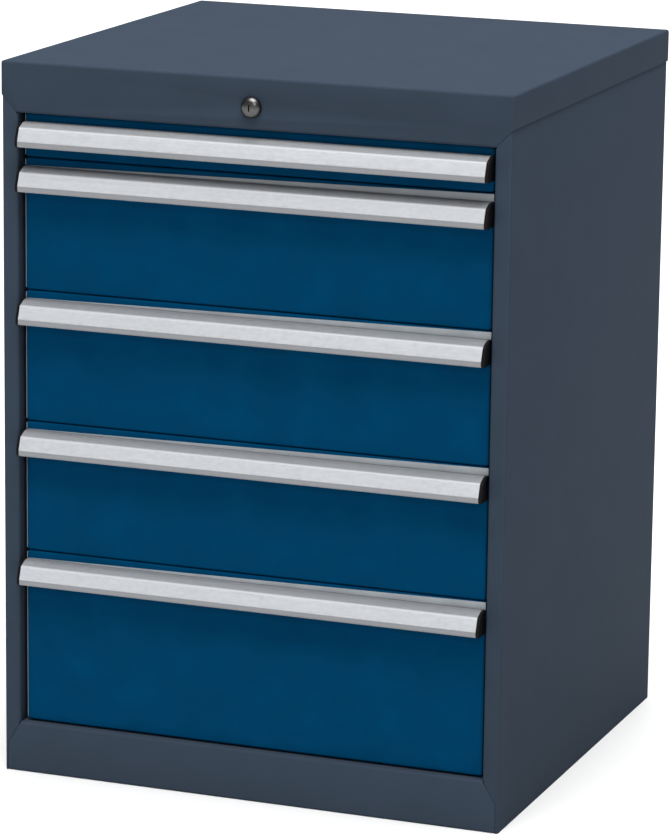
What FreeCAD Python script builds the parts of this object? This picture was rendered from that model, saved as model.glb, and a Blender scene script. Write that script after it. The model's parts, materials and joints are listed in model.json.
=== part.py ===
import math
import os
import FreeCAD
import Part

Vector = FreeCAD.Vector

# Steel drawer cabinet for a workshop: a folded housing with five drawers on
# telescopic rails and one lock that holds them all. Millimetres, +Z up,
# front towards -Y, origin on the floor under the middle of the cabinet.

# Housing
WIDTH = 600.0
DEPTH = 570.0
HEIGHT = 820.0
SHEET = 1.5
BEND = 3.0
STILE = 20.5
FASCIA = 57.3
RAIL = 58.8
STILE_RETURN = 20.0
FLANGE = 18.0
LIP_UP = 11.0
SEAM = 0.5
PLAY = 0.3
PAST = 1.0
RAIL_MITRE_FOOT = 33.0

# Drawers, heights in units of the perforation grid, from the top down
UNITS = [2, 6, 6, 6, 8]
UNITS_ALL = sum(UNITS)
GRID_RISE = 1.7
FRONT_GAP = 2.0
RECESS = 9.0
REVEAL = 5.3
FRONT_THICK = 18.0
FRONT_BEND = 2.5
TRAY_SIDE = 15.0
TRAY_SHEET = 1.2
TRAY_BACK = 35.0
TRAY_RISE = 6.0
TRAY_HEADROOM = 6.2
RIM = 8.0
RIM_DROP = 6.0

# Grip strip, depths and heights from its upper crease
CREASE_DROP = 14.6
GRIP_SHEET = 2.0
GRIP_RISE = 5.2
GRIP_FALL = 0.6
GRIP_SHOULDER = 1.0
GRIP_BROW = 9.2
GRIP_OUT = 14.5
GRIP_NOSE = 14.5
GRIP_LEAN = 0.1
GRIP_DROP = 21.7
GRIP_RETURN = 4.0
GRIP_LEG = 20.5
EDGE_BEND = 2.1
SHOULDER_BEND = 14.0
BROW_BEND = 4.5
NOSE_BEND = 4.0
LIP_BEND = 2.6
CAP = 1.0
CAP_PLUG = 6.0
LABEL_THICK = 1.0
LABEL_HEIGHT = 3.3

# Telescopic rails
RAIL_CENTRE = 26.0
RAIL_START = 30.0
RAIL_BACK = 40.0
RAIL_HALF = 20.0
RAIL_SHEET = 1.5
RAIL_LIP = 4.5
RAIL_DEEP = 12.7
STEM_HALF = 12.7

# Uprights
UPRIGHT_WEB = 28.0
UPRIGHT_FOOT = 10.0
UPRIGHT_FRONT = 60.0
UPRIGHT_BACK = 80.0
UPRIGHT_HEAD = 40.0
SLOT_WIDE = 3.4
SLOT_TALL = 14.0
SLOT_RISE = 20.0
HOOK_WIDE = 2.0
HOOK_TALL = 7.0
HOOK_DROP = 4.0
HOOK_OUT = 4.0

# Lock
LOCK_DROP = 32.5
LOCK_HEAD = 12.0
LOCK_DOME = 6.0
LOCK_CROWN = 2.5
LOCK_BODY = 9.5
LOCK_LONG = 26.0
PLUG = 6.95
PLUG_RUN = 0.05
KEY_WIDE = 2.2
KEY_TALL = 8.0
KEY_DEEP = 12.0
NUT_FLATS = 27.0
NUT_THICK = 4.0

# Locking shaft, rack bar and catches, set out from the housing rear and top
SHAFT = 4.0
SHAFT_RUN = 0.08
SHAFT_BACK = 11.0
MODULE = 1.5
TEETH = 12
BACKLASH = 0.4
PINION_BACK = 21.0
PINION_THICK = 4.0
BAR_BACK = 20.0
BAR_THICK = 2.0
BAR_WIDE = 8.0
BAR_FOOT = 80.0
BAR_HEAD = 6.0
RACK_TEETH = 8
TEETH_BELOW = 3
TAB_THICK = 1.5
TAB_SEAT = 6.0
TAB_OUT = 11.0
TAB_TALL = 11.5
TAB_RISE = 17.5
CATCH_RISE = 12.0
CATCH_WIDE = 8.0
CATCH_SIDE = 21.0
CATCH_TALL = 11.0
CATCH_REACH = 22.0
CATCH_THICK = 2.0

# Bracket and guides
BRACKET_HALF = 14.0
BRACKET_FOOT = 10.0
BRACKET_BACK = 14.0
BRACKET_TALL = 26.0
GUIDE_UNITS = [4, 18, 24]
GUIDE_TALL = 12.0
GUIDE_WALL = 2.0

# Derived planes
FRONT = (GRIP_OUT + GRIP_LEAN - DEPTH) / 2
REAR = FRONT + DEPTH
SIDE_OUT = WIDTH / 2 - SHEET
SIDE_IN = SIDE_OUT - SHEET
REAR_OUT = REAR - SHEET
REAR_IN = REAR_OUT - SHEET
OPENING_HALF = WIDTH / 2 - STILE
OPENING_TOP = HEIGHT - FASCIA
MITRE_TOP = OPENING_TOP + STILE
GRID_BASE = RAIL + GRID_RISE
UNIT = (OPENING_TOP - GRID_BASE) / UNITS_ALL
STILE_FLAT = SIDE_OUT - BEND
REAR_HALF = SIDE_OUT - BEND
FRONT_HALF = OPENING_HALF - REVEAL
TRAY_HALF = OPENING_HALF - TRAY_SIDE
TRAY_FRONT = RECESS + FRONT_THICK
TRAY_REAR = DEPTH - TRAY_BACK
RAIL_END = DEPTH - RAIL_BACK
RAIL_OUT = TRAY_HALF + RAIL_DEEP + PLAY
RAIL_WEB = RAIL_OUT + SHEET
UPRIGHT_REAR = DEPTH - UPRIGHT_BACK
UPRIGHT_TOP = HEIGHT - UPRIGHT_HEAD
LOCK_Z = HEIGHT - LOCK_DROP
PITCH_RADIUS = MODULE * TEETH / 2
PRESSURE = math.radians(20)
ROOT = 1.25 * MODULE
BAR_SIDE = PITCH_RADIUS + ROOT
BAR_DEPTH = DEPTH - BAR_BACK
BAR_TOP = HEIGHT - BAR_HEAD


def behind(depth):
    return FRONT + depth


# Height of a drawer's cell, counted from the top drawer down
def cell_bottom(number):
    return GRID_BASE + UNIT * sum(UNITS[number:])


def cell_top(number):
    return cell_bottom(number) + UNIT * UNITS[number - 1]


# A point of a profile drawn in the plane across one axis
def spot(axis, place, point):
    if axis == "x":
        return Vector(place, point[0], point[1])
    if axis == "y":
        return Vector(point[0], place, point[1])
    return Vector(point[0], point[1], place)


def unit(a, b):
    length = math.hypot(b[0] - a[0], b[1] - a[1])
    return (b[0] - a[0]) / length, (b[1] - a[1]) / length


# Closed outline with a radius at each corner, run along one axis
def extrusion(points, radii, axis, start, end):
    edges = []
    tail = None
    first = None
    for i, corner in enumerate(points):
        back = unit(corner, points[i - 1])
        ahead = unit(corner, points[(i + 1) % len(points)])
        radius = radii[i] if radii else 0
        if radius > 0:
            cosine = back[0] * ahead[0] + back[1] * ahead[1]
            half = math.acos(max(-1.0, min(1.0, cosine))) / 2
            reach = radius / math.tan(half)
            middle = (back[0] + ahead[0], back[1] + ahead[1])
            size = math.hypot(middle[0], middle[1])
            inset = radius / math.sin(half) - radius
            enter = (corner[0] + back[0] * reach, corner[1] + back[1] * reach)
            leave = (corner[0] + ahead[0] * reach, corner[1] + ahead[1] * reach)
            crown = (corner[0] + middle[0] / size * inset, corner[1] + middle[1] / size * inset)
        else:
            enter = corner
            leave = corner
            crown = None
        if tail is None:
            first = enter
        else:
            edges.append(Part.makeLine(spot(axis, start, tail), spot(axis, start, enter)))
        if crown is not None:
            arc = Part.Arc(spot(axis, start, enter), spot(axis, start, crown), spot(axis, start, leave))
            edges.append(arc.toShape())
        tail = leave
    edges.append(Part.makeLine(spot(axis, start, tail), spot(axis, start, first)))
    face = Part.Face(Part.Wire(edges))
    run = spot(axis, end - start, (0, 0))
    return face.extrude(run)


# Line parallel to an open path, to its left
def beside(path, distance):
    line = []
    for i, corner in enumerate(path):
        ahead = unit(corner, path[i + 1]) if i + 1 < len(path) else unit(path[i - 1], corner)
        back = unit(path[i - 1], corner) if i > 0 else ahead
        normal = (-ahead[1] - back[1], ahead[0] + back[0])
        scale = 2 * distance / (normal[0] ** 2 + normal[1] ** 2)
        line.append((corner[0] + normal[0] * scale, corner[1] + normal[1] * scale))
    return line


# Folded sheet: an open path with its material on the left and a radius at each fold
def folded(path, thickness, bends, axis, start, end):
    inner = beside(path, thickness)
    near = [0] * len(path)
    far = [0] * len(path)
    for i in range(1, len(path) - 1):
        back = unit(path[i - 1], path[i])
        ahead = unit(path[i], path[i + 1])
        bend = bends[i - 1] if isinstance(bends, list) else bends
        tight = max(bend - thickness, 0)
        left = back[0] * ahead[1] - back[1] * ahead[0] > 0
        near[i] = bend if left else tight
        far[i] = tight if left else bend
    points = path + inner[::-1]
    radii = near + far[::-1]
    return extrusion(points, radii, axis, start, end)


def block(x, y, z):
    return Part.makeBox(x[1] - x[0], y[1] - y[0], z[1] - z[0], Vector(x[0], y[0], z[0]))


def mirrored(shape):
    return shape.mirror(Vector(0, 0, 0), Vector(1, 0, 0))


def pair(shape):
    return [shape, mirrored(shape)]


def disc(radius, start, end, x, z):
    return Part.makeCylinder(radius, end - start, Vector(x, behind(start), z), Vector(0, 1, 0))


def save(name, *shapes):
    solids = []
    for shape in shapes:
        solids.extend(shape.Solids)
    whole = solids[0] if len(solids) == 1 else Part.makeCompound(solids)
    whole.exportStep("parts/" + name + ".step")


# Housing

# Cap folded down on four sides, its fascia mitred against the stiles
def top_cover():
    low = OPENING_TOP - SHEET
    spare = low - PAST
    outer = block((-WIDTH / 2, WIDTH / 2), (FRONT, REAR), (low, HEIGHT))
    outer = outer.makeFillet(BEND, [e for e in outer.Edges if e.BoundBox.ZMax > low + PAST])
    inner = block((-SIDE_OUT, SIDE_OUT), (FRONT + SHEET, REAR_OUT), (spare, HEIGHT - SHEET))
    cover = outer.cut(inner)
    side = block((SIDE_IN, WIDTH / 2 + PAST), (FRONT + BEND, REAR + PAST), (spare, MITRE_TOP))
    rear = block((-WIDTH, WIDTH), (REAR_IN, REAR + PAST), (spare, MITRE_TOP))
    step = STILE + PAST
    corner = [(OPENING_HALF, OPENING_TOP), (OPENING_HALF, spare), (OPENING_HALF + step, spare),
              (OPENING_HALF + step, OPENING_TOP + step)]
    mitre = extrusion(corner, None, "y", FRONT - PAST, FRONT + BEND)
    mouth_top = OPENING_TOP + BEND + PAST
    mouth = block((-OPENING_HALF, OPENING_HALF), (FRONT - PAST, FRONT + BEND), (spare, mouth_top))
    for tool in pair(side) + pair(mitre) + [rear, mouth]:
        cover = cover.cut(tool)
    path = [(FRONT, mouth_top), (FRONT, OPENING_TOP), (behind(FLANGE), OPENING_TOP),
            (behind(FLANGE), OPENING_TOP + LIP_UP)]
    lip = folded(path, SHEET, [BEND, 0], "x", -OPENING_HALF, OPENING_HALF)
    cover = cover.fuse(lip).removeSplitter()
    return cover.cut(disc(LOCK_BODY + PLAY, -PAST, SHEET + PAST, 0, LOCK_Z))


# Right-hand side, folded round into the stile in front and a flange behind
def side_panel():
    path = [(OPENING_HALF, behind(STILE_RETURN)), (OPENING_HALF, FRONT), (SIDE_OUT, FRONT),
            (SIDE_OUT, REAR_OUT), (SIDE_OUT - FLANGE, REAR_OUT)]
    top = HEIGHT - BEND
    panel = folded(path, SHEET, BEND, "z", 0, top)
    above = top + PAST
    inner = OPENING_HALF - PAST
    outer = WIDTH / 2 + PAST
    upper = [(inner, OPENING_TOP - PAST - SEAM), (outer, MITRE_TOP + PAST - SEAM), (outer, above),
             (inner, above)]
    lower = [(inner, RAIL), (OPENING_HALF, RAIL), (STILE_FLAT, RAIL_MITRE_FOOT), (STILE_FLAT, -PAST),
             (inner, -PAST)]
    web = (inner, OPENING_HALF + SHEET + SEAM)
    turned = (FRONT, behind(STILE_RETURN + PAST))
    panel = panel.cut(extrusion(upper, None, "y", FRONT - PAST, FRONT + BEND))
    panel = panel.cut(extrusion(lower, None, "y", FRONT - PAST, FRONT + BEND))
    panel = panel.cut(block(web, turned, (OPENING_TOP - SEAM, above)))
    return panel.cut(block(web, turned, (-PAST, RAIL)))


# Floor of the housing with the bottom rail folded down in front of it
def base_pan():
    path = [(REAR_IN - FLANGE, 0), (REAR_IN, 0), (REAR_IN, RAIL), (FRONT, RAIL), (FRONT, 0),
            (behind(FLANGE), 0)]
    pan = folded(path, SHEET, BEND, "x", -SIDE_IN, SIDE_IN)
    above = RAIL + PAST
    corner = [(OPENING_HALF - SEAM, above), (OPENING_HALF - SEAM, RAIL), (STILE_FLAT - SEAM, RAIL_MITRE_FOOT),
              (STILE_FLAT - SEAM, -PAST), (WIDTH / 2, -PAST), (WIDTH / 2, above)]
    notch = block((REAR_HALF, WIDTH / 2), (REAR_IN - BEND, REAR_IN + PAST), (-PAST, above))
    for tool in pair(extrusion(corner, None, "y", FRONT - PAST, FRONT + BEND)) + pair(notch):
        pan = pan.cut(tool)
    return pan


def rear_panel():
    return block((-REAR_HALF, REAR_HALF), (REAR_IN - SHEET, REAR_IN), (RAIL, HEIGHT - BEND))


# Hat-shaped post on the right side panel, slotted on the drawer grid
def upright(depth):
    centre = behind(depth)
    half = UPRIGHT_WEB / 2
    path = [(SIDE_IN, centre - half - UPRIGHT_FOOT), (SIDE_IN, centre - half), (RAIL_WEB, centre - half),
            (RAIL_WEB, centre + half), (SIDE_IN, centre + half), (SIDE_IN, centre + half + UPRIGHT_FOOT)]
    post = folded(path, SHEET, 0, "z", RAIL, UPRIGHT_TOP)
    slots = []
    for step in range(0, UNITS_ALL, 2):
        low = GRID_BASE + step * UNIT + SLOT_RISE
        wide = (centre - SLOT_WIDE / 2, centre + SLOT_WIDE / 2)
        slots.append(block((RAIL_OUT - PAST, RAIL_WEB + PAST), wide, (low, low + SLOT_TALL)))
    return post.cut(Part.makeCompound(slots))


# Rails

# Channel on the uprights with lips that hold the intermediate rail
def cabinet_rail(number):
    centre = cell_bottom(number) + RAIL_CENTRE
    mouth = TRAY_HALF + PLAY
    low = centre - RAIL_HALF
    high = centre + RAIL_HALF
    path = [(mouth, low + RAIL_LIP), (mouth, low), (RAIL_OUT, low), (RAIL_OUT, high), (mouth, high),
            (mouth, high - RAIL_LIP)]
    rail = folded(path, RAIL_SHEET, 0, "y", behind(RAIL_START), behind(RAIL_END))
    seat = cell_bottom(number) + SLOT_RISE
    root = RAIL_OUT - RAIL_SHEET / 2
    tip = RAIL_OUT + HOOK_OUT
    hook = [(root, seat), (RAIL_WEB, seat), (RAIL_WEB, seat - HOOK_DROP), (tip, seat - HOOK_DROP),
            (tip, seat + HOOK_TALL), (root, seat + HOOK_TALL)]
    for depth in (UPRIGHT_FRONT, UPRIGHT_REAR):
        start = behind(depth) - HOOK_WIDE / 2
        rail = rail.fuse(extrusion(hook, None, "y", start, start + HOOK_WIDE))
    return rail


# Channel that runs inside the cabinet rail
def intermediate_rail(number):
    centre = cell_bottom(number) + RAIL_CENTRE
    mouth = TRAY_HALF + RAIL_SHEET + 2 * PLAY
    back = RAIL_OUT - RAIL_SHEET - PLAY
    half = RAIL_HALF - RAIL_SHEET - PLAY
    lip = half - STEM_HALF - PLAY
    path = [(mouth, centre - half + lip), (mouth, centre - half), (back, centre - half),
            (back, centre + half), (mouth, centre + half), (mouth, centre + half - lip)]
    return folded(path, RAIL_SHEET, 0, "y", behind(RAIL_START), behind(RAIL_END))


# Hat section on the tray, its brim caught inside the intermediate rail
def drawer_rail(number):
    centre = cell_bottom(number) + RAIL_CENTRE
    brim = TRAY_HALF + 2 * RAIL_SHEET + 3 * PLAY
    end = RAIL_OUT - 2 * RAIL_SHEET - 2 * PLAY
    half = RAIL_HALF - 2 * RAIL_SHEET - 2 * PLAY
    path = [(end, centre + half), (brim, centre + half), (brim, centre + STEM_HALF),
            (TRAY_HALF, centre + STEM_HALF), (TRAY_HALF, centre - STEM_HALF),
            (brim, centre - STEM_HALF), (brim, centre - half), (end, centre - half)]
    return folded(path, RAIL_SHEET, 0, "y", behind(RAIL_START), behind(RAIL_END))


# Drawers

# Tray folded from sheet with a turned-in rim, and the hook that the locking bar catches
def tray(number):
    low = cell_bottom(number) + TRAY_RISE
    high = cell_top(number) - TRAY_HEADROOM
    near = behind(TRAY_FRONT)
    far = behind(TRAY_REAR)
    half = TRAY_HALF
    edge = half - RIM
    turn = high - RIM_DROP
    trough = [(-edge, turn), (-edge, high), (-half, high), (-half, low), (half, low), (half, high),
              (edge, high), (edge, turn)]
    back = [(far, low), (far, high), (far - RIM, high), (far - RIM, turn)]
    fore = [(near + RIM, turn), (near + RIM, high), (near, high), (near, low)]
    inside = half - TRAY_SHEET / 2
    body = folded(trough, TRAY_SHEET, 0, "y", near, far)
    body = body.fuse(folded(back, TRAY_SHEET, 0, "x", -inside, inside))
    body = body.fuse(folded(fore, TRAY_SHEET, 0, "x", -inside, inside))
    base = cell_bottom(number) + CATCH_RISE
    root = far - TRAY_SHEET / 2
    end = far + CATCH_REACH
    catch = [(root, base), (end, base), (end, base + CATCH_TALL), (end - CATCH_THICK, base + CATCH_TALL),
             (end - CATCH_THICK, base + CATCH_THICK), (root, base + CATCH_THICK)]
    return body.fuse(extrusion(catch, None, "x", CATCH_SIDE, CATCH_SIDE + CATCH_WIDE)).removeSplitter()


# Folded front, hollow behind its face
def drawer_front(number):
    low = cell_bottom(number) + FRONT_GAP / 2
    high = cell_top(number) - FRONT_GAP / 2
    near = behind(RECESS)
    far = near + FRONT_THICK
    outer = block((-FRONT_HALF, FRONT_HALF), (near, far), (low, high))
    outer = outer.makeFillet(FRONT_BEND, [e for e in outer.Edges if e.BoundBox.YMax < near + PAST])
    inside = FRONT_HALF - SHEET
    inner = block((-inside, inside), (near + SHEET, far - SHEET), (low + SHEET, high - SHEET))
    edge = FRONT_HALF - FLANGE
    rim = RIM + FRONT_GAP
    window = block((-edge, edge), (far - 2 * SHEET, far + PAST), (low + rim, high - rim))
    return outer.cut(inner).cut(window)


# Grip strip section from the foot of its leg round to the inturned lip
def grip_path(number, leg):
    z = cell_top(number) - CREASE_DROP
    tip = GRIP_OUT + GRIP_LEAN
    line = [(RECESS, -leg), (RECESS, GRIP_RISE), (GRIP_SHOULDER, GRIP_RISE - GRIP_FALL), (-GRIP_BROW, 0),
            (-GRIP_OUT, -GRIP_NOSE), (-tip, -GRIP_DROP), (GRIP_RETURN - tip, -GRIP_DROP)]
    return [(behind(depth), z + height) for depth, height in line]


def grip_bends():
    return [EDGE_BEND, SHOULDER_BEND, BROW_BEND, NOSE_BEND, LIP_BEND]


def grip_strip(number):
    half = FRONT_HALF - CAP
    return folded(grip_path(number, GRIP_LEG), GRIP_SHEET, grip_bends(), "x", -half, half)


# End plate of the grip strip with a plug that fills its mouth
def end_cap(number):
    path = grip_path(number, GRIP_DROP)
    plate = extrusion(path[:-1], [0] + grip_bends(), "x", FRONT_HALF - CAP, FRONT_HALF)
    line = beside(path, GRIP_SHEET + PLAY)
    plug = extrusion(line, None, "x", FRONT_HALF - CAP - CAP_PLUG, FRONT_HALF - CAP)
    return plate.fuse(plug)


# Thin strip standing behind the grip strip
def label_strip(number):
    base = cell_top(number) - CREASE_DROP + GRIP_RISE
    half = FRONT_HALF - FRONT_BEND
    return block((-half, half), (behind(RECESS - LABEL_THICK), behind(RECESS)), (base, base + LABEL_HEIGHT))


# Lock

# Crowned head and threaded body with a through bore for the plug
def lock_housing():
    bore = PLUG + PLUG_RUN
    corners = [(bore, -LOCK_DOME), (LOCK_HEAD - LOCK_CROWN, -LOCK_DOME), (LOCK_HEAD, LOCK_CROWN - LOCK_DOME),
               (LOCK_HEAD, 0), (LOCK_BODY, 0), (LOCK_BODY, LOCK_LONG), (bore, LOCK_LONG)]
    section = Part.makePolygon([Vector(r, behind(depth), 0) for r, depth in corners + corners[:1]])
    body = Part.Face(section).revolve(Vector(0, 0, 0), Vector(0, 1, 0), 360)
    body.translate(Vector(0, 0, LOCK_Z))
    return body


def lock_nut():
    radius = NUT_FLATS / 2 / math.cos(math.pi / 6)
    corners = []
    for i in range(6):
        angle = math.pi / 3 * i
        corners.append((radius * math.cos(angle), LOCK_Z + radius * math.sin(angle)))
    nut = extrusion(corners, None, "y", behind(SHEET), behind(SHEET + NUT_THICK))
    return nut.cut(disc(LOCK_BODY + PLAY, 0, LOCK_LONG, 0, LOCK_Z))


# Turning core with the key slot upright
def lock_plug():
    plug = disc(PLUG, -LOCK_DOME, LOCK_LONG, 0, LOCK_Z)
    slot = block((-KEY_WIDE / 2, KEY_WIDE / 2), (behind(-LOCK_DOME - PAST), behind(KEY_DEEP - LOCK_DOME)),
                 (LOCK_Z - KEY_TALL / 2, LOCK_Z + KEY_TALL / 2))
    return plug.cut(slot)


# Half width of a tooth at a height above the pitch line
def tooth_half(height):
    return MODULE * math.pi / 4 - BACKLASH / 2 - height * math.tan(PRESSURE)


# Shaft from the plug to the rear with its pinion
def lock_shaft():
    shaft = disc(SHAFT, LOCK_LONG, DEPTH - SHAFT_BACK, 0, LOCK_Z)
    corners = []
    for i in range(TEETH):
        middle = 2 * math.pi * i / TEETH
        for height in (-ROOT, MODULE):
            radius = PITCH_RADIUS + height
            turn = tooth_half(height) / radius
            corners.append((middle - turn, radius))
        for height in (MODULE, -ROOT):
            radius = PITCH_RADIUS + height
            turn = tooth_half(height) / radius
            corners.append((middle + turn, radius))
    outline = [(r * math.cos(a), LOCK_Z + r * math.sin(a)) for a, r in corners]
    near = behind(DEPTH - PINION_BACK)
    pinion = extrusion(outline, None, "y", near, near + PINION_THICK)
    return shaft.fuse(pinion)


# Flat bar with a rack beside the pinion
def lock_bar():
    near = behind(BAR_DEPTH)
    far = near + BAR_THICK
    outer = BAR_SIDE + BAR_WIDE
    bar = block((BAR_SIDE, outer), (near, far), (BAR_FOOT, BAR_TOP))
    root = tooth_half(-ROOT)
    tip = tooth_half(MODULE)
    sunk = BAR_SIDE + SHEET
    point = PITCH_RADIUS - MODULE
    for i in range(RACK_TEETH):
        middle = LOCK_Z + math.pi * MODULE * (i + 0.5 - TEETH_BELOW)
        tooth = [(sunk, middle - root), (BAR_SIDE, middle - root), (point, middle - tip),
                 (point, middle + tip), (BAR_SIDE, middle + root), (sunk, middle + root)]
        bar = bar.fuse(extrusion(tooth, None, "y", near, far))
    return bar.removeSplitter()


# Tabs riveted to the back of the bar, one for each drawer
def lock_tabs():
    tabs = []
    outer = BAR_SIDE + BAR_WIDE
    near = behind(BAR_DEPTH + BAR_THICK)
    for number in range(1, len(UNITS) + 1):
        low = cell_bottom(number) + CATCH_RISE + TAB_RISE
        wide = (outer - TAB_SEAT, outer + TAB_OUT)
        tabs.append(block(wide, (near, near + TAB_THICK), (low, low + TAB_TALL)))
    return tabs


# Bracket on the rear panel that carries the end of the shaft
def shaft_bracket():
    depth = DEPTH - BRACKET_BACK
    wall = behind(depth + SHEET)
    seat = REAR_IN - SHEET
    half = BRACKET_HALF
    path = [(half + BRACKET_FOOT, seat), (half, seat), (half, wall), (-half, wall), (-half, seat),
            (-half - BRACKET_FOOT, seat)]
    low = LOCK_Z - BRACKET_TALL / 2
    bracket = folded(path, SHEET, 0, "z", low, low + BRACKET_TALL)
    return bracket.cut(disc(SHAFT + SHAFT_RUN, depth - PAST, depth + SHEET + PAST, 0, LOCK_Z))


# Plastic blocks on the rear panel that the bar slides in
def bar_guides():
    guides = []
    wide = (BAR_SIDE - PLAY, BAR_SIDE + BAR_WIDE + PLAY)
    deep = (behind(BAR_DEPTH - PLAY), behind(BAR_DEPTH + BAR_THICK + PLAY))
    for step in GUIDE_UNITS:
        low = GRID_BASE + step * UNIT
        high = low + GUIDE_TALL
        body = block((wide[0] - GUIDE_WALL, wide[1] + GUIDE_WALL), (deep[0] - GUIDE_WALL, REAR_IN - SHEET),
                     (low, high))
        guides.append(body.cut(block(wide, deep, (low - PAST, high + PAST))))
    return guides


os.makedirs("parts", exist_ok=True)

save("top_cover", top_cover())
save("side_panel_right", side_panel())
save("side_panel_left", mirrored(side_panel()))
save("base_pan", base_pan())
save("rear_panel", rear_panel())
save("upright_front_right", upright(UPRIGHT_FRONT))
save("upright_front_left", mirrored(upright(UPRIGHT_FRONT)))
save("upright_rear_right", upright(UPRIGHT_REAR))
save("upright_rear_left", mirrored(upright(UPRIGHT_REAR)))
save("lock_housing", lock_housing())
save("lock_nut", lock_nut())
save("lock_plug", lock_plug())
save("lock_shaft", lock_shaft())
save("lock_bar", lock_bar())
save("lock_tabs", *lock_tabs())
save("shaft_bracket", shaft_bracket())
save("bar_guides", *bar_guides())

for number in range(1, len(UNITS) + 1):
    name = str(number)
    save("cabinet_rails_" + name, *pair(cabinet_rail(number)))
    save("intermediate_rails_" + name, *pair(intermediate_rail(number)))
    save("drawer_" + name + "_rails", *pair(drawer_rail(number)))
    save("drawer_" + name + "_tray", tray(number))
    save("drawer_" + name + "_front", drawer_front(number))
    save("drawer_" + name + "_grip", grip_strip(number))
    save("drawer_" + name + "_end_caps", *pair(end_cap(number)))
    if number > 1:
        save("drawer_" + name + "_label_strip", label_strip(number))
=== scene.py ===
import json
import math

import bmesh
import bpy
from mathutils import Matrix, Vector


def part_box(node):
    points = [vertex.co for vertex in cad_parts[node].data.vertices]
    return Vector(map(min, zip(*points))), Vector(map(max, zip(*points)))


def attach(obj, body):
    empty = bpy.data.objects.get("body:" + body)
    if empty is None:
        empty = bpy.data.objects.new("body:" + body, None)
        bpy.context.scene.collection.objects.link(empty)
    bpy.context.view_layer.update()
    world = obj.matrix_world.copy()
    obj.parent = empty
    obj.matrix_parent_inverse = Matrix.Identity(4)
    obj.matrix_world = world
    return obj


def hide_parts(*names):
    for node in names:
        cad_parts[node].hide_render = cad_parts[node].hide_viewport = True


bl_info = {
    "name": "Drawer Cabinet",
    "version": (1, 0, 0),
    "blender": (4, 5, 0),
    "location": "View3D > Sidebar > Cabinet",
    "description": "Dresses a steel drawer cabinet in folded sheet, aluminium grips and soft light",
    "category": "Object",
}

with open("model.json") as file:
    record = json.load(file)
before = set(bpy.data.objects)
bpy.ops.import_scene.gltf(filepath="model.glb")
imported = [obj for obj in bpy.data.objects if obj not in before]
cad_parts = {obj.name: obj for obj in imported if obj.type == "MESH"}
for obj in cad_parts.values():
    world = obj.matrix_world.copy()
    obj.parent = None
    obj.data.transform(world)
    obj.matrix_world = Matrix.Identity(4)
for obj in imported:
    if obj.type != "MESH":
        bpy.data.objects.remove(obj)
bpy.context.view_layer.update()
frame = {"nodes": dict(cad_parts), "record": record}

DRAWERS = range(1, 6)
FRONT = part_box("top_cover")[0].y
MM = 0.001
SAME_SPOT = 0.01 * MM
MERGED = 0.001 * MM
SOFT_ANGLE = math.radians(32)


# Selecting and editing


def only(piece):
    bpy.ops.object.select_all(action="DESELECT")
    piece.hide_set(False)
    piece.select_set(True)
    bpy.context.view_layer.objects.active = piece


def placed():
    bpy.ops.object.transform_apply(location=True, rotation=True, scale=True)
    return bpy.context.object


def named(piece, name):
    piece.name = name
    piece.data.name = name
    return piece


def start_edit(piece, mode="FACE"):
    only(piece)
    bpy.ops.object.mode_set(mode="EDIT")
    bpy.ops.mesh.select_mode(type=mode)
    bpy.ops.mesh.select_all(action="DESELECT")


def end_edit():
    bpy.ops.object.mode_set(mode="OBJECT")


def pick_faces(piece, test):
    bpy.ops.mesh.select_mode(type="FACE")
    bpy.ops.mesh.select_all(action="DESELECT")
    mesh = bmesh.from_edit_mesh(piece.data)
    for face in mesh.faces:
        if test(face):
            face.select_set(True)
    bmesh.update_edit_mesh(piece.data)


def pick_edges(piece, test):
    bpy.ops.mesh.select_mode(type="EDGE")
    bpy.ops.mesh.select_all(action="DESELECT")
    mesh = bmesh.from_edit_mesh(piece.data)
    for edge in mesh.edges:
        if test(edge.verts[0].co, edge.verts[1].co):
            edge.select_set(True)
    bmesh.update_edit_mesh(piece.data)


def apply_modifier(piece, kind, **settings):
    only(piece)
    modifier = piece.modifiers.new(kind.title(), kind)
    for key, value in settings.items():
        setattr(modifier, key, value)
    bpy.ops.object.modifier_apply(modifier=modifier.name)


def smooth(piece):
    only(piece)
    bpy.ops.object.shade_smooth_by_angle(angle=SOFT_ANGLE)


def face_out(piece):
    start_edit(piece)
    bpy.ops.mesh.select_all(action="SELECT")
    bpy.ops.mesh.remove_doubles(threshold=MERGED)
    bpy.ops.mesh.normals_make_consistent(inside=False)
    end_edit()


def copy_of(piece, name, offset):
    twin = piece.copy()
    twin.data = piece.data.copy()
    bpy.context.collection.objects.link(twin)
    only(twin)
    twin.location = offset
    return named(placed(), name)


def dress(piece, body, slot, material, *nodes):
    piece.data.materials.clear()
    piece.data.materials.append(material)
    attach(piece, body)
    if nodes:
        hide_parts(*nodes)


# Shapes


def add_block(name, low, high):
    bpy.ops.object.select_all(action="DESELECT")
    size = high - low
    bpy.ops.mesh.primitive_cube_add(size=1, location=(low + high) / 2)
    bpy.context.object.scale = size
    return named(placed(), name)


def add_bar(name, radius, near, far, centre):
    bpy.ops.object.select_all(action="DESELECT")
    bpy.ops.mesh.primitive_cylinder_add(
        vertices=96,
        radius=radius,
        depth=far - near,
        location=(centre.x, (near + far) / 2, centre.z),
        rotation=(math.radians(90), 0, 0),
    )
    return named(placed(), name)


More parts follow.
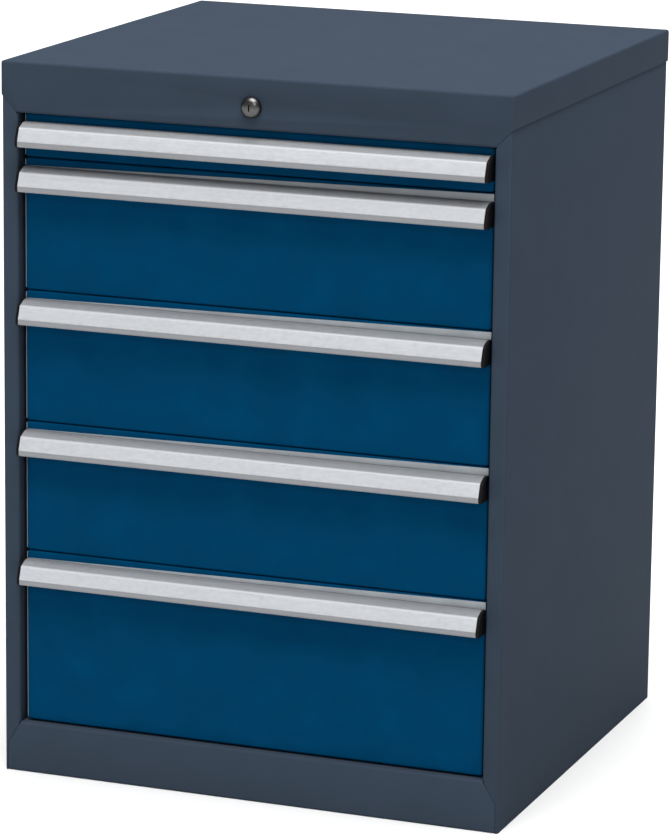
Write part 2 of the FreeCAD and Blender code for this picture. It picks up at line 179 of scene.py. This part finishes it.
def add_strip(name, path, left, right):
    """A strip of sheet that follows a path of (y, z) points, one extrusion for each run."""
    bpy.ops.object.select_all(action="DESELECT")
    (y0, z0), (y1, z1) = path[:2]
    run = math.hypot(y1 - y0, z1 - z0)
    bpy.ops.mesh.primitive_plane_add(
        size=1,
        location=((left + right) / 2, (y0 + y1) / 2, (z0 + z1) / 2),
        rotation=(math.atan2(z1 - z0, y1 - y0), 0, 0),
    )
    bpy.context.object.scale = (right - left, run, 1)
    strip = named(placed(), name)
    start_edit(strip, "EDGE")
    pick_edges(strip, at_spot(path[1]))
    for here, there in zip(path[1:], path[2:]):
        step = (0, there[0] - here[0], there[1] - here[1])
        bpy.ops.mesh.extrude_region_move(TRANSFORM_OT_translate={"value": step})
    end_edit()
    return strip


def at_spot(spot):
    def test(a, b):
        near_a = math.hypot(a.y - spot[0], a.z - spot[1]) < SAME_SPOT
        near_b = math.hypot(b.y - spot[0], b.z - spot[1]) < SAME_SPOT
        return near_a and near_b

    return test


def round_folds(strip, path, radii, segments):
    """Each fold of a strip gets its radius."""
    for spot, back, ahead, radius in zip(path[1:], path, path[2:], radii):
        into = math.atan2(spot[1] - back[1], spot[0] - back[0])
        out = math.atan2(ahead[1] - spot[1], ahead[0] - spot[0])
        turn = abs((out - into + math.pi) % (2 * math.pi) - math.pi)
        start_edit(strip, "EDGE")
        pick_edges(strip, at_spot(spot))
        bpy.ops.mesh.bevel(offset=radius * math.tan(turn / 2), segments=segments, affect="EDGES")
        end_edit()


def point_left(strip, path):
    """Turns a strip's faces to the left of its path."""
    start_edit(strip)
    bpy.ops.mesh.select_all(action="SELECT")
    bpy.ops.mesh.normals_make_consistent(inside=False)
    end_edit()
    (y0, z0), (y1, z1) = path[:2]
    left = Vector((0, -(z1 - z0), y1 - y0))
    middle = Vector((0, (y0 + y1) / 2, (z0 + z1) / 2))
    first = min(strip.data.polygons, key=lambda f: ((f.center - middle) * Vector((0, 1, 1))).length)
    if first.normal.dot(left) < 0:
        start_edit(strip)
        bpy.ops.mesh.select_all(action="SELECT")
        bpy.ops.mesh.flip_normals()
        end_edit()


def node_copy(node, name, edge):
    """A node's own shape with its triangles joined and its cut edges broken."""
    source = frame["nodes"][node]
    piece = source.copy()
    piece.data = source.data.copy()
    bpy.context.collection.objects.link(piece)
    piece.parent = None
    piece.matrix_world = Matrix.Identity(4)
    named(piece, name)
    start_edit(piece)
    bpy.ops.mesh.select_all(action="SELECT")
    bpy.ops.mesh.remove_doubles(threshold=MERGED)
    bpy.ops.mesh.dissolve_limited(angle_limit=math.radians(0.5))
    end_edit()
    if edge > 0:
        apply_modifier(
            piece,
            "BEVEL",
            width=edge,
            segments=2,
            limit_method="ANGLE",
            angle_limit=math.radians(50),
            use_clamp_overlap=True,
        )
    smooth(piece)
    return piece


# Finishes


def new_material(name):
    made = bpy.data.materials.new(name)
    made.use_nodes = True
    made.node_tree.nodes.clear()
    return made


def add_noise(tree, scale, detail, stretch=(1, 1, 1)):
    """Noise on the piece's own coordinates, with scale in waves for each metre."""
    coordinates = tree.nodes.new("ShaderNodeTexCoord")
    mapping = tree.nodes.new("ShaderNodeMapping")
    mapping.inputs["Scale"].default_value = stretch
    noise = tree.nodes.new("ShaderNodeTexNoise")
    noise.inputs["Scale"].default_value = scale
    noise.inputs["Detail"].default_value = detail
    tree.links.new(coordinates.outputs["Object"], mapping.inputs["Vector"])
    tree.links.new(mapping.outputs["Vector"], noise.inputs["Vector"])
    return noise.outputs["Fac"]


def add_range(tree, value, low, high, start=0.3, end=0.7):
    spread = tree.nodes.new("ShaderNodeMapRange")
    spread.inputs["From Min"].default_value = start
    spread.inputs["From Max"].default_value = end
    spread.inputs["To Min"].default_value = low
    spread.inputs["To Max"].default_value = high
    tree.links.new(value, spread.inputs["Value"])
    return spread.outputs["Result"]


def add_tint(tree, value, dark, light, start=0.3, end=0.7):
    ramp = tree.nodes.new("ShaderNodeValToRGB")
    ramp.color_ramp.elements[0].position = start
    ramp.color_ramp.elements[0].color = (*dark, 1)
    ramp.color_ramp.elements[1].position = end
    ramp.color_ramp.elements[1].color = (*light, 1)
    tree.links.new(value, ramp.inputs["Fac"])
    return ramp.outputs["Color"]


def multiplied(tree, one, other):
    product = tree.nodes.new("ShaderNodeMix")
    product.data_type = "RGBA"
    product.blend_type = "MULTIPLY"
    product.inputs["Factor"].default_value = 1
    tree.links.new(one, product.inputs["A"])
    tree.links.new(other, product.inputs["B"])
    return product.outputs["Result"]


def add_bump(tree, value, strength, distance):
    bump = tree.nodes.new("ShaderNodeBump")
    bump.inputs["Strength"].default_value = strength
    bump.inputs["Distance"].default_value = distance
    tree.links.new(value, bump.inputs["Height"])
    return bump.outputs["Normal"]


def shaded(colour, factor):
    return tuple(min(channel * factor, 1.0) for channel in colour)


def finish_surface(tree, colour, roughness, normal, **settings):
    shader = tree.nodes.new("ShaderNodeBsdfPrincipled")
    for key, value in settings.items():
        shader.inputs[key].default_value = value
    tree.links.new(colour, shader.inputs["Base Color"])
    tree.links.new(roughness, shader.inputs["Roughness"])
    tree.links.new(normal, shader.inputs["Normal"])
    output = tree.nodes.new("ShaderNodeOutputMaterial")
    tree.links.new(shader.outputs["BSDF"], output.inputs["Surface"])


def powder_coat(name, colour, roughness, shine, mottle):
    """Baked powder paint with a fine orange peel and a faint mottle in its tone."""
    made = new_material(name)
    tree = made.node_tree
    cloud = add_noise(tree, 22, 6)
    grain = add_noise(tree, 850, 2)
    peel = add_noise(tree, 420, 3)
    tone = add_tint(tree, cloud, shaded(colour, 1 - mottle), shaded(colour, 1 + mottle))
    gloss = add_range(tree, grain, roughness - 0.05, roughness + 0.05)
    normal = add_bump(tree, peel, 0.16, 0.0002)
    finish_surface(tree, tone, gloss, normal, **{"Specular IOR Level": shine})
    return made


def plated(name, colour, roughness):
    """Bright plating with a faint haze."""
    made = new_material(name)
    tree = made.node_tree
    haze = add_noise(tree, 260, 3)
    tone = add_tint(tree, haze, shaded(colour, 0.92), shaded(colour, 1.06))
    gloss = add_range(tree, haze, roughness - 0.03, roughness + 0.04)
    normal = add_bump(tree, add_noise(tree, 500, 2), 0.03, 0.00005)
    finish_surface(tree, tone, gloss, normal, Metallic=1.0)
    return made


def drawn_strip(name, colour, roughness):
    """Drawn aluminium with streaks and specks, and painted shade: darker where the tone attribute is low,
    on the brow and the lower lip, full colour where it is high.
    """
    made = new_material(name)
    tree = made.node_tree
    shade_marks = tree.nodes.new("ShaderNodeAttribute")
    shade_marks.attribute_name = "tone"
    lines = add_noise(tree, 1, 4, (6, 2200, 2200))
    grain = add_noise(tree, 330, 3, (0.5, 1, 1))
    # Painted shade: the tone attribute mixes the grip colour down to 0.52 on the brow and the lower lip.
    painted_shade = add_tint(tree, shade_marks.outputs["Fac"], shaded(colour, 0.52), colour, 0, 1)
    streaks = add_tint(tree, lines, (0.93, 0.93, 0.93), (1, 1, 1))
    specks = add_tint(tree, grain, (0.9, 0.9, 0.9), (1, 1, 1))
    tone = multiplied(tree, multiplied(tree, painted_shade, streaks), specks)
    gloss = add_range(tree, grain, roughness - 0.06, roughness + 0.08)
    normal = add_bump(tree, lines, 0.12, 0.00008)
    finish_surface(tree, tone, gloss, normal, Metallic=0.45)
    return made


def zinc_plate(name, colour, roughness):
    """Plated steel with small crystal flakes."""
    made = new_material(name)
    tree = made.node_tree
    coordinates = tree.nodes.new("ShaderNodeTexCoord")
    flakes = tree.nodes.new("ShaderNodeTexVoronoi")
    flakes.inputs["Scale"].default_value = 120
    tree.links.new(coordinates.outputs["Object"], flakes.inputs["Vector"])
    tone = add_tint(tree, flakes.outputs["Distance"], shaded(colour, 0.94), shaded(colour, 1.04))
    gloss = add_range(tree, flakes.outputs["Distance"], roughness - 0.06, roughness + 0.08, 0, 1)
    normal = add_bump(tree, add_noise(tree, 700, 2), 0.1, 0.0001)
    finish_surface(tree, tone, gloss, normal, Metallic=0.9)
    return made


def moulded_plastic(name, colour, roughness, shine):
    """Moulded plastic with a fine spark grain."""
    made = new_material(name)
    tree = made.node_tree
    grain = add_noise(tree, 1400, 2)
    tone = add_tint(tree, add_noise(tree, 30, 2), shaded(colour, 0.9), shaded(colour, 1.1))
    gloss = add_range(tree, grain, roughness - 0.06, roughness + 0.06)
    normal = add_bump(tree, grain, 0.15, 0.0001)
    finish_surface(tree, tone, gloss, normal, **{"Specular IOR Level": shine})
    return made


def shop_floor(name, colour):
    made = new_material(name)
    tree = made.node_tree
    tone = add_tint(tree, add_noise(tree, 2, 2), shaded(colour, 0.99), colour)
    gloss = add_range(tree, add_noise(tree, 6, 2), 0.75, 0.85)
    normal = add_bump(tree, add_noise(tree, 60, 2), 0.02, 0.0005)
    finish_surface(tree, tone, gloss, normal, **{"Specular IOR Level": 0.2})
    return made


finishes = {}


def finish(kind):
    """The material of one finish, made once."""
    if kind not in finishes:
        colours = bpy.context.scene.cabinet_colours
        makers = {
            "housing_grey": lambda: powder_coat("housing_grey", colours.housing, 0.5, 0.004, 0.035),
            "tray_grey": lambda: powder_coat("tray_grey", colours.tray, 0.5, 0.02, 0.035),
            "front_blue": lambda: powder_coat("front_blue", colours.fronts, 0.5, 0.008, 0.09),
            "grip_aluminium": lambda: drawn_strip("grip_aluminium", colours.grips, 0.56),
            "end_cap_black": lambda: moulded_plastic("end_cap_black", colours.caps, 0.5, 0.06),
            "label_grey": lambda: moulded_plastic("label_grey", colours.labels, 0.4, 0.2),
            "zinc_steel": lambda: zinc_plate("zinc_steel", colours.zinc, 0.46),
            "lock_nickel": lambda: plated("lock_nickel", colours.nickel, 0.34),
            "floor": lambda: shop_floor("pale_floor", colours.floor),
        }
        finishes[kind] = makers[kind]()
    return finishes[kind]


# Settings


def length(name, description, default):
    return bpy.props.FloatProperty(
        name=name, description=description, default=default, min=0, unit="LENGTH", subtype="DISTANCE"
    )


def colour(name, description, default):
    return bpy.props.FloatVectorProperty(
        name=name, description=description, default=default, size=3, min=0, max=1, subtype="COLOR"
    )


class CabinetSizes(bpy.types.PropertyGroup):
    """Sizes that the looks add to the construction"""

    sheet: length("Sheet", "Thickness of the folded sheet", 1.5 * MM)
    front_bend: length("Front bend", "Radius along the edges of a drawer front", 2.2 * MM)
    front_corner: length("Front corner", "Radius at the corners of a drawer front", 3.2 * MM)
    front_wider: length("Front wider", "Width that a drawer front gains at its right side", 1.8 * MM)
    front_taller: length("Front taller", "Height that a drawer front gains above and below", 0.45 * MM)
    front_flange: length("Front flange", "Width of the rim turned in behind a drawer front", 16 * MM)
    broken_edge: length("Broken edge", "Bevel on the cut edges of sheet parts", 0.3 * MM)
    grip_sheet: length("Grip sheet", "Wall of the grip strips", 2 * MM)
    # Partly painted shade: the end caps are real black plastic, and this extra outward thickness carries
    # their black over the shaded gap beside the cap.
    cap_lip_over_shade: length("Cap lip", "Thickness that an end cap gains outwards", 2.3 * MM)
    label_end: length("Label end", "Length that a label strip gains at its right end", 5 * MM)
    label_rise: length("Label rise", "Height of the label strip at its right end", 8.2 * MM)
    label_low: length("Label low end", "Height of the label strip at its left end", 0.3 * MM)
    # Painted highlight: the pale strip at the left of a drawer front stands in for light on the front's
    # rounded edge.
    painted_highlight: length("Side trim", "Thickness of the pale strip at the left of a drawer front", 0.6 * MM)
    crown_rise: length("Crown rise", "Height that the lock's head gains outwards", 2 * MM)
    crown_radius: length("Crown radius", "Radius of the crown on the lock's head", 7.9 * MM)
    core_rise: length("Core rise", "Height that the lock's core gains at its rim", 1.4 * MM)
    slot_wide: length("Slot width", "Width of the key slot", 1.6 * MM)
    slot_tall: length("Slot height", "Height of the key slot", 7.2 * MM)
    slot_deep: length("Slot depth", "Depth of the key slot", 12 * MM)


class CabinetColours(bpy.types.PropertyGroup):
    """Colours of the finishes"""

    housing: colour("Housing", "Powder paint of the housing", (0.0325, 0.0455, 0.0655))
    tray: colour("Trays", "Powder paint of the trays", (0.0325, 0.0455, 0.0655))
    fronts: colour("Fronts", "Powder paint of the drawer fronts", (0.0, 0.041, 0.105))
    grips: colour("Grips", "Drawn aluminium of the grip strips", (0.54, 0.555, 0.58))
    caps: colour("Caps", "Plastic of the end caps", (0.007, 0.0065, 0.007))
    labels: colour("Labels", "Plastic of the label strips", (0.27, 0.29, 0.31))
    zinc: colour("Zinc", "Plated steel of rails and locking parts", (0.4, 0.42, 0.44))
    nickel: colour("Nickel", "Plating of the lock", (0.11, 0.11, 0.108))
    floor: colour("Floor", "Floor that the cabinet stands on", (0.7, 0.7, 0.7))


# Pieces


class CABINET_OT_housing(bpy.types.Operator):
    """Dress the folded housing in broken edges and grey powder paint"""

    bl_idname = "cabinet.housing"
    bl_label = "Housing"

    def execute(self, context):
        edge = context.scene.cabinet_sizes.broken_edge
        for node in ("top_cover", "side_panel_left", "side_panel_right", "base_pan", "rear_panel"):
            piece = node_copy(node, node + "_sheet", edge)
            dress(piece, "housing", "housing_grey", finish("housing_grey"), node)
        return {"FINISHED"}


class CABINET_OT_trays(bpy.types.Operator):
    """Dress the trays in broken edges and grey powder paint"""

    bl_idname = "cabinet.trays"
    bl_label = "Trays"

    def execute(self, context):
        edge = context.scene.cabinet_sizes.broken_edge
        for number in DRAWERS:
            node = f"drawer_{number}_tray"
            piece = node_copy(node, node + "_sheet", edge)
            dress(piece, f"drawer_{number}", "tray_grey", finish("tray_grey"), node)
        return {"FINISHED"}


class CABINET_OT_fronts(bpy.types.Operator):
    """Fold the drawer fronts with rounded edges and a rim turned in behind"""

    bl_idname = "cabinet.fronts"
    bl_label = "Drawer fronts"

    def execute(self, context):
        sizes = context.scene.cabinet_sizes
        for number in DRAWERS:
            node = f"drawer_{number}_front"
            low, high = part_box(node)
            low = low - Vector((0, 0, sizes.front_taller))
            high = high + Vector((sizes.front_wider, 0, sizes.front_taller))
            piece = add_block(node + "_sheet", low, high)
            start_edit(piece)
            pick_faces(piece, lambda f: f.normal.y > 0.9)
            bpy.ops.mesh.inset(thickness=sizes.front_flange)
            bpy.ops.mesh.delete(type="FACE")
            pick_edges(piece, lambda a, b: abs(a.y - b.y) > 0.5 * (high.y - low.y))
            bpy.ops.mesh.bevel(offset=sizes.front_corner, segments=5, affect="EDGES")
            pick_edges(piece, lambda a, b: max(a.y, b.y) < low.y + SAME_SPOT)
            bpy.ops.mesh.bevel(offset=sizes.front_bend, segments=5, affect="EDGES")
            end_edit()
            apply_modifier(piece, "SOLIDIFY", thickness=sizes.sheet, offset=-1, use_even_offset=True)
            face_out(piece)
            smooth(piece)
            dress(piece, f"drawer_{number}", "front_blue", finish("front_blue"), node)
            # Painted highlight along the left edge of the front.
            self.add_painted_highlight(number, low, high)
        return {"FINISHED"}

    def add_painted_highlight(self, number, low, high):
        """A thin pale strip on the left side of a drawer front, a painted highlight that stands in for
        light caught by the front's rounded left edge.
        """
        thick = bpy.context.scene.cabinet_sizes.painted_highlight
        sunk = 0.05 * MM
        behind_bend, before_rear, shorter = 1.2 * MM, 4 * MM, 2 * MM
        near = Vector((low.x - thick, low.y + behind_bend, low.z + shorter))
        far = Vector((low.x + sunk, high.y - before_rear, high.z - shorter))
        painted_highlight = add_block(f"drawer_{number}_side_painted_highlight", near, far)
        apply_modifier(painted_highlight, "BEVEL", width=0.2 * MM, segments=2)
        smooth(painted_highlight)
        # The painted highlight uses the pale label plastic.
        dress(painted_highlight, f"drawer_{number}", "label_grey", finish("label_grey"))


def grip_profile():
    """Section of the grip strip as (y, z) points from its foot, with z from the upper crease."""
    leg, brow, nose = [(9, -20.5), (9, 5.2)], [(1, 4.6), (-9.2, 0)], [(-14.5, -14.5), (-14.6, -21.7)]
    lip = [(-10.6, -21.7)]
    return [(FRONT + depth * MM, height * MM) for depth, height in leg + brow + nose + lip]


GRIP_FOLDS = [0.7 * MM, 14 * MM, 4.5 * MM, 4 * MM, 2.6 * MM]
GRIP_RISE = 5.2 * MM
# Below this height the grip's lower lip gets painted shade.
LIP_TOP = -15 * MM


def grip_crease(number):
    """Height of the upper crease of a drawer's grip strip."""
    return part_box(f"drawer_{number}_grip")[1].z - GRIP_RISE


def mark_painted_shade(strip):
    """Marks a strip's faces with painted shade: dark on the flat-lying brow and the lower lip, full
    brightness on the upright faces between.
    """
    tone = strip.data.attributes.new("tone", "FLOAT", "FACE")
    for face, mark in zip(strip.data.polygons, tone.data):
        steep = (0.88 - abs(face.normal.z)) / 0.4
        mark.value = 0 if face.center.z < LIP_TOP else min(max(steep, 0), 1)


class CABINET_OT_grips(bpy.types.Operator):
    """Draw the aluminium grip strips with softly rounded folds"""

    bl_idname = "cabinet.grips"
    bl_label = "Grip strips"

    def execute(self, context):
        wall = context.scene.cabinet_sizes.grip_sheet
        low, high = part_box("drawer_1_grip")
        path = grip_profile()
        first = add_strip("grip_pattern", path, low.x, high.x)
        round_folds(first, path, GRIP_FOLDS, 8)
        point_left(first, path)
        apply_modifier(first, "SOLIDIFY", thickness=wall, offset=1, use_even_offset=True)
        face_out(first)
        smooth(first)
        # Painted shade marks on the brow and lower lip, read by the grip finish through the tone
        # attribute.
        mark_painted_shade(first)
        for number in DRAWERS:
            node = f"drawer_{number}_grip"
            piece = copy_of(first, node + "_strip", (0, 0, grip_crease(number)))
            dress(piece, f"drawer_{number}", "grip_aluminium", finish("grip_aluminium"), node)
        bpy.data.objects.remove(first)
        return {"FINISHED"}


class CABINET_OT_caps(bpy.types.Operator):
    """Close the ends of the grip strips with black caps"""

    bl_idname = "cabinet.caps"
    bl_label = "End caps"

    def execute(self, context):
        strip_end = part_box("drawer_1_grip")[1].x
        # The cap's extra outward thickness is painted shade, standing in for the shaded gap beyond the
        # real cap.
        cap_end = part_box("drawer_1_end_caps")[1].x + context.scene.cabinet_sizes.cap_lip_over_shade
        outline = grip_profile()[:-1]
        outline[0] = (outline[0][0], outline[-1][1])
        path = outline + outline[:1]
        cap = add_strip("cap_pattern", path, strip_end, cap_end)
        round_folds(cap, path, GRIP_FOLDS, 6)
        start_edit(cap, "EDGE")
        bpy.ops.mesh.select_all(action="SELECT")
        bpy.ops.mesh.remove_doubles(threshold=MERGED)
        bpy.ops.mesh.select_all(action="SELECT")
        bpy.ops.mesh.fill_holes(sides=0)
        end_edit()
        face_out(cap)
        sharp = math.radians(60)
        apply_modifier(cap, "BEVEL", width=0.25 * MM, segments=2, limit_method="ANGLE", angle_limit=sharp)
        smooth(cap)
        for number in DRAWERS:
            node = f"drawer_{number}_end_caps"
            right = copy_of(cap, node + "_right", (0, 0, grip_crease(number)))
            left = copy_of(cap, node + "_left", (0, 0, grip_crease(number)))
            only(left)
            bpy.ops.transform.mirror(constraint_axis=(True, False, False), center_override=(0, 0, 0))
            left = placed()
            face_out(left)
            smooth(left)
            only(right)
            left.select_set(True)
            bpy.ops.object.join()
            caps = named(right, node + "_pair")
            dress(caps, f"drawer_{number}", "end_cap_black", finish("end_cap_black"), node)
        bpy.data.objects.remove(cap)
        return {"FINISHED"}


class CABINET_OT_labels(bpy.types.Operator):
    """Stand the label strips behind the grip strips"""

    bl_idname = "cabinet.labels"
    bl_label = "Label strips"

    def execute(self, context):
        sizes = context.scene.cabinet_sizes
        for number in DRAWERS[1:]:
            node = f"drawer_{number}_label_strip"
            low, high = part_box(node)
            piece = add_block(node + "_plate", low, high)
            start_edit(piece)
            pick_faces(piece, lambda f: f.normal.x > 0.9)
            bpy.ops.transform.translate(value=(sizes.label_end, 0, 0))
            pick_edges(piece, lambda a, b: min(a.z, b.z) > low.z + MM and min(a.x, b.x) > 0)
            bpy.ops.transform.translate(value=(0, 0, low.z + sizes.label_rise - high.z))
            pick_edges(piece, lambda a, b: min(a.z, b.z) > low.z + MM and max(a.x, b.x) < 0)
            bpy.ops.transform.translate(value=(0, 0, low.z + sizes.label_low - high.z))
            end_edit()
            apply_modifier(piece, "BEVEL", width=0.12 * MM, segments=2)
            smooth(piece)
            dress(piece, f"drawer_{number}", "label_grey", finish("label_grey"), node)
        return {"FINISHED"}


COLLAR_STEP = 2.5 * MM
DOME_RING = 1.4 * MM
DOME_STEPS = [0.48 * MM, 0.35 * MM, 0.21 * MM, 0.07 * MM]


class CABINET_OT_lock(bpy.types.Operator):
    """Turn the lock's crowned head and its core with the key slot"""

    bl_idname = "cabinet.lock"
    bl_label = "Lock"

    def execute(self, context):
        sizes = context.scene.cabinet_sizes
        low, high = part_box("lock_housing")
        core_low, core_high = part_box("lock_plug")
        centre = (low + high) / 2
        head = (high.x - low.x) / 2
        core = (core_high.x - core_low.x) / 2
        shell = add_bar("lock_housing_crown", head, low.y - sizes.crown_rise, FRONT, centre)
        start_edit(shell)
        pick_edges(shell, lambda a, b: max(a.y, b.y) < low.y - MM)
        bpy.ops.mesh.bevel(offset=sizes.crown_radius, segments=18, affect="EDGES")
        pick_faces(shell, lambda f: f.normal.y > 0.9)
        bpy.ops.mesh.inset(thickness=COLLAR_STEP)
        bpy.ops.mesh.extrude_region_move(TRANSFORM_OT_translate={"value": (0, high.y - FRONT, 0)})
        end_edit()
        bore = add_bar("lock_bore", core + 0.05 * MM, low.y - 3 * MM, high.y + MM, centre)
        apply_modifier(shell, "BOOLEAN", object=bore, operation="DIFFERENCE", solver="EXACT")
        bpy.data.objects.remove(bore)
        smooth(shell)
        dress(shell, "housing", "lock_nickel", finish("lock_nickel"), "lock_housing")
        plug = add_bar("lock_plug_core", core, core_low.y - sizes.core_rise, core_high.y, centre)
        start_edit(plug)
        pick_edges(plug, lambda a, b: max(a.y, b.y) < core_low.y - MM)
        bpy.ops.mesh.bevel(offset=0.15 * MM, segments=2, affect="EDGES")
        pick_faces(plug, lambda f: f.normal.y < -0.99)
        for step in DOME_STEPS:
            bpy.ops.mesh.inset(thickness=DOME_RING)
            bpy.ops.transform.translate(value=(0, -step, 0))
        end_edit()
        half = Vector((sizes.slot_wide / 2, 0, sizes.slot_tall / 2))
        slot_low = Vector((0, core_low.y - 4 * MM, centre.z)) - half
        slot_high = Vector((0, core_low.y + sizes.slot_deep, centre.z)) + half
        key_slot = add_block("key_slot", slot_low, slot_high)
        apply_modifier(plug, "BOOLEAN", object=key_slot, operation="DIFFERENCE", solver="EXACT")
        bpy.data.objects.remove(key_slot)
        smooth(plug)
        dress(plug, "lock", "lock_nickel", finish("lock_nickel"), "lock_plug")
        return {"FINISHED"}


class CABINET_OT_works(bpy.types.Operator):
    """Finish the rails, uprights and locking parts in plated steel"""

    bl_idname = "cabinet.works"
    bl_label = "Rails and locking parts"

    def execute(self, context):
        slots = {part["node"]: part["material_slot"] for part in frame["record"]["subparts"]}
        for node, piece in frame["nodes"].items():
            if piece.hide_render:
                continue
            for holder in piece.material_slots:
                holder.material = finish(slots[node])
        return {"FINISHED"}


# Stage


def add_sky(name, direction, strength, spread):
    """A wide far light that shines from a direction."""
    data = bpy.data.lights.new(name, "SUN")
    data.energy = strength
    data.angle = math.radians(spread)
    lamp = bpy.data.objects.new(name, data)
    bpy.context.collection.objects.link(lamp)
    lamp.rotation_euler = (-Vector(direction)).to_track_quat("-Z", "Y").to_euler()
    lamp.location = Vector(direction) * 3


VIEW_AZIMUTH = math.radians(20.87)
VIEW_ELEVATION = math.radians(13.04)
VIEW_ROLL = math.radians(0.71)
VIEW_DISTANCE = 4.6365
VIEW_TARGET = Vector((0.1018, FRONT, 0.4523))
FOCAL_PIXELS = 4244
PICTURE_PIXELS = 835
SENSOR = 36


class CABINET_OT_stage(bpy.types.Operator):
    """Set the floor, the soft light and the camera"""

    bl_idname = "cabinet.stage"
    bl_label = "Stage"

    def execute(self, context):
        bpy.ops.object.select_all(action="DESELECT")
        bpy.ops.mesh.primitive_plane_add(size=60)
        floor = named(bpy.context.object, "pale_floor")
        floor.data.materials.append(finish("floor"))
        world = bpy.data.worlds.new("studio")
        context.scene.world = world
        world.use_nodes = True
        backdrop = world.node_tree.nodes["Background"]
        backdrop.inputs["Color"].default_value = (1, 1, 1, 1)
        backdrop.inputs["Strength"].default_value = 0.12
        add_sky("main_softbox", (0.08, -0.265, 0.92), 4.6, 46)
        add_sky("glint", (0.36, -0.82, 0.45), 0.6, 14)
        add_sky("back_softbox", (-0.1, 0.62, 0.75), 2.0, 60)
        self.aim_camera(context)
        return {"FINISHED"}

    def aim_camera(self, context):
        level = Vector((math.sin(VIEW_AZIMUTH), -math.cos(VIEW_AZIMUTH), 0))
        back = level * math.cos(VIEW_ELEVATION) + Vector((0, 0, math.sin(VIEW_ELEVATION)))
        right = Vector((math.cos(VIEW_AZIMUTH), math.sin(VIEW_AZIMUTH), 0))
        up = back.cross(right)
        across = right * math.cos(VIEW_ROLL) + up * math.sin(VIEW_ROLL)
        upward = up * math.cos(VIEW_ROLL) - right * math.sin(VIEW_ROLL)
        data = bpy.data.cameras.new("view")
        data.sensor_width = SENSOR
        data.lens = FOCAL_PIXELS / PICTURE_PIXELS * SENSOR
        camera = bpy.data.objects.new("view", data)
        context.collection.objects.link(camera)
        camera.matrix_world = Matrix((across, upward, back)).transposed().to_4x4()
        camera.location = back * VIEW_DISTANCE + VIEW_TARGET
        context.scene.camera = camera


class CABINET_PT_panel(bpy.types.Panel):
    """Sizes, colours and steps of the cabinet"""

    bl_idname = "CABINET_PT_panel"
    bl_label = "Drawer cabinet"
    bl_space_type = "VIEW_3D"
    bl_region_type = "UI"
    bl_category = "Cabinet"

    def draw(self, context):
        for group in (context.scene.cabinet_sizes, context.scene.cabinet_colours):
            column = self.layout.column()
            for key in group.bl_rna.properties.keys():
                if key not in ("rna_type", "name"):
                    column.prop(group, key)
        for step in STEPS:
            self.layout.operator(step.bl_idname)


STEPS = (
    CABINET_OT_housing,
    CABINET_OT_trays,
    CABINET_OT_fronts,
    CABINET_OT_grips,
    CABINET_OT_caps,
    CABINET_OT_labels,
    CABINET_OT_lock,
    CABINET_OT_works,
    CABINET_OT_stage,
)
CLASSES = (CabinetSizes, CabinetColours, *STEPS, CABINET_PT_panel)


def register():
    for item in CLASSES:
        bpy.utils.register_class(item)
    bpy.types.Scene.cabinet_sizes = bpy.props.PointerProperty(type=CabinetSizes)
    bpy.types.Scene.cabinet_colours = bpy.props.PointerProperty(type=CabinetColours)


def unregister():
    del bpy.types.Scene.cabinet_colours
    del bpy.types.Scene.cabinet_sizes
    for item in reversed(CLASSES):
        bpy.utils.unregister_class(item)


def main():
    register()
    bpy.context.scene.view_settings.view_transform = "Standard"
    bpy.ops.cabinet.housing()
    bpy.ops.cabinet.trays()
    bpy.ops.cabinet.fronts()
    bpy.ops.cabinet.grips()
    bpy.ops.cabinet.caps()
    bpy.ops.cabinet.labels()
    bpy.ops.cabinet.lock()
    bpy.ops.cabinet.works()
    bpy.ops.cabinet.stage()


if __name__ == "__main__":
    main()
